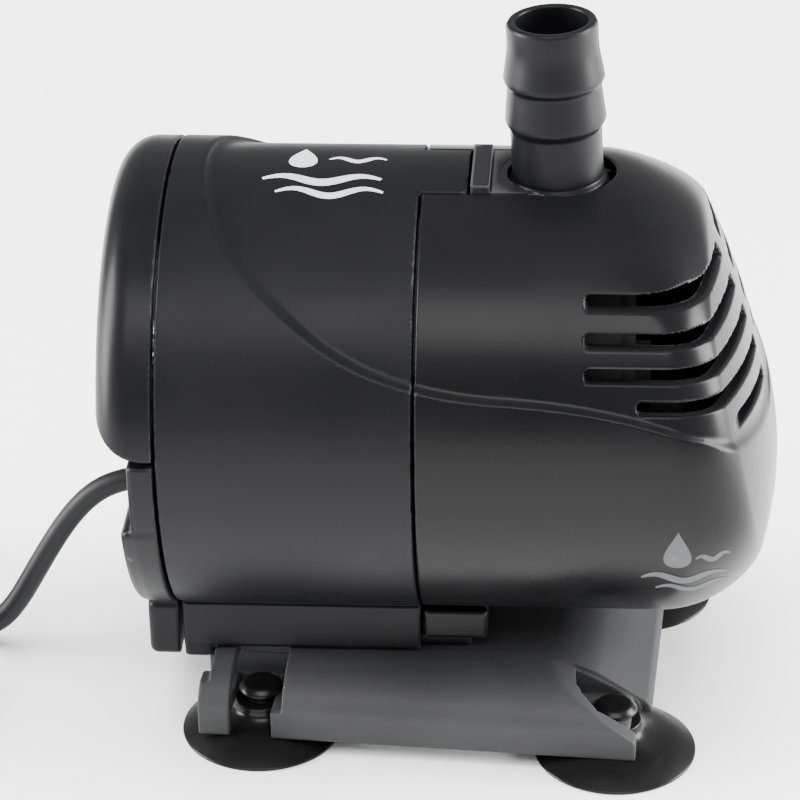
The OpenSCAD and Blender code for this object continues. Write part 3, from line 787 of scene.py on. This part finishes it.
# ---------------------------------------------------------------- cable, coil and plug
# middle line of the cable from its exit to the coil, and from the coil to the plug
LEAD = [(-56, 0, CABLE_EXIT_Z), (-59.5, 0, 37.6), (-63.5, 0, 36.3), (-67.3, 0, 33.5), (-71, 0, 29.2),
        (-74.7, 0, 23.4), (-78.3, 0, 17), (-81.5, 0, 11.2), (-85, 0.3, 6.4), (-89.5, 1.6, 3.3),
        (-94.5, 4, 2.2), (-99.5, 6.9, 2.1), (-104.5, 9.3, 2.3), (-109.5, 10.6, 2.7), (-114, 11, 2.9)]
TAIL = [(-94.7, -8.3, 7.2), (-94.7, -3, 7.3), (-94.7, 3, 7.4), (-94.7, 9, 7.4), (-94.9, 14.5, 7.3),
        (-96.2, 21, 7.1), (-99.7, 26.5, 7), (-105, 30.2, 7), (-111, 31.5, 7), PLUG_ENTRY]


def coil_points():
    """Turns in two layers of four, wound inwards below and outwards above.

    Each turn moves to the next radius and layer over its last quarter.
    """
    radii = [COIL_OUTER_R - COIL_PITCH * i for i in range(4)]
    radii = radii + radii[::-1]
    layers = [LOWER_LAYER] * 4 + [UPPER_LAYER] * 4
    steps = 24
    points = []
    for i in range(int(COIL_TURNS * steps) + 1):
        turn = i / steps
        whole = int(turn)
        part = turn - whole
        swing = float(eased((part - 0.75) / 0.25))
        after = min(whole + 1, 7)
        r = radii[whole] + (radii[after] - radii[whole]) * swing
        h = layers[whole] + (layers[after] - layers[whole]) * swing
        a = math.pi / 2 + 2 * math.pi * turn
        points.append((COIL[0] + r * math.cos(a), COIL[1] + r * math.sin(a), h))
    return points


def make_cable():
    into_coil = [(-120.0, 11.0, LOWER_LAYER)]
    out_of_coil = [(-94.66, -14.5, UPPER_LAYER)]
    points = LEAD + into_coil + coil_points() + out_of_coil + TAIL
    data = bpy.data.curves.new("power_cable", "CURVE")
    data.dimensions = "3D"
    data.bevel_depth = CABLE_D / 2 * MM
    data.bevel_resolution = 6
    data.resolution_u = 6
    spline = data.splines.new("NURBS")
    spline.points.add(len(points) - 1)
    for point, place in zip(spline.points, points):
        point.co = (*(Vector(place) * MM), 1.0)
    spline.order_u = 4
    spline.use_endpoint_u = True
    data.materials.append(MATERIALS["cable"])
    data.use_fill_caps = True
    cable = bpy.data.objects.new("power_cable", data)
    bpy.context.collection.objects.link(cable)
    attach(cable, "motor")
    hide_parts("cable_lead", "cable_coil", "cable_tail")


def plug_field(x, y, z):
    """Flat two-pin plug: waisted body and a ribbed strain relief."""
    cx, cy, cz = PLUG_ENTRY
    body = box_field(x, y, z, (cx - 36, cy - 13, 0.05), (cx - 10, cy + 13, 13.9), 3.0)
    waist = 1.6 * np.exp(-((x - (cx - 19.0)) / 5.0) ** 2)
    body = np.maximum(body, both(np.abs(y - cy) - (13.0 - waist), np.abs(z - cz) - 6.9, 3.0))
    r = 3.0 + 1.6 * np.clip((cx - x) / 11.0, 0.0, 1.0)
    rings = 0.45 * np.clip(np.cos((x - cx) * 2 * math.pi / 2.6) * 2.0, -1.0, 1.0)
    relief = both(np.hypot(y - cy, z - cz) - (r - 0.35 + rings * 0.6), between(x, cx - 12.0, cx), 0.3)
    return either(body, relief, 0.8)


def tie_field(x, y, z):
    """Flat band round the coil's turns."""
    cx, cy = COIL
    low, high = cy - 33.6, cy - 16.4
    outer = both(between(y, low - 1.0, high + 1.0), between(z, 0.02, 10.2), 2.0)
    outer = both(outer, between(x, cx - 2.5, cx + 2.5), 0.3)
    inner = both(between(y, low - 0.2, high + 0.2), between(z, 0.8, 9.4), 1.5)
    return without(outer, inner, 0.1)


def make_cord():
    plug = moulding("plug_moulding", plug_field, (-150.2, 18.3, 0.0), (-113.8, 44.7, 14.1), 0.5,
                    "plug", "motor", "plug_body")
    tie = moulding("coil_tie_band", tie_field, (-128.8, -55.2, 0.0), (-123.2, -35.6, 10.4), 0.3,
                   "tie", "motor", "coil_tie")
    make_cable()


# ---------------------------------------------------------------- studio
FLOOR_HALF = 6.0        # metres
WORLD_STRENGTH = 0.55


def make_studio():
    """Pale floor, pale surroundings and four soft area lights."""
    floor_mesh = bpy.data.meshes.new("floor")
    s = FLOOR_HALF
    floor_mesh.from_pydata([(-s, -s, 0), (s, -s, 0), (s, s, 0), (-s, s, 0)], [], [(0, 1, 2, 3)])
    floor = bpy.data.objects.new("floor", floor_mesh)
    bpy.context.collection.objects.link(floor)
    mat, _, shader = new_material("floor_paper", (0.95, 0.95, 0.95), 0.8, specular=0.1)
    floor.data.materials.append(mat)
    world = bpy.data.worlds.new("studio")
    bpy.context.scene.world = world
    world.use_nodes = True
    background = world.node_tree.nodes["Background"]
    background.inputs["Color"].default_value = (1.0, 1.0, 1.0, 1.0)
    background.inputs["Strength"].default_value = WORLD_STRENGTH

    def softbox(name, place, target, size, power):
        data = bpy.data.lights.new(name, "AREA")
        data.shape = "RECTANGLE"
        data.size, data.size_y = size
        data.energy = power
        light = bpy.data.objects.new(name, data)
        bpy.context.collection.objects.link(light)
        light.location = place
        light.visible_camera = False
        light.rotation_euler = (Vector(target) - Vector(place)).to_track_quat("-Z", "Y").to_euler()
        return light

    softbox("right", (0.85, 0.12, 0.30), (0, 0, 0.06), (0.4, 0.7), 30.0)
    softbox("left", (-0.85, -0.05, 0.28), (0, 0, 0.06), (0.4, 0.6), 24.0)
    softbox("front", (0.05, -0.75, 1.05), (0, 0, 0.06), (0.9, 0.5), 11.0)
    # the overhead light isn't mirrored in the glossy shells
    top = softbox("top", (0.0, 0.0, 1.3), (0, 0, 0.05), (1.2, 1.0), 55.0)
    top.visible_glossy = False


dress_cad_nodes()
make_cord()
make_housing()
make_rear()
make_cover()
make_bracket()
make_barb()
make_cups()
make_prints()
moulding("outlet_pad", pad_field, (3.6, -9.2, 93.8), (29.6, 9.2, 101.8), 0.35, "inner_plastic", "motor")
make_studio()
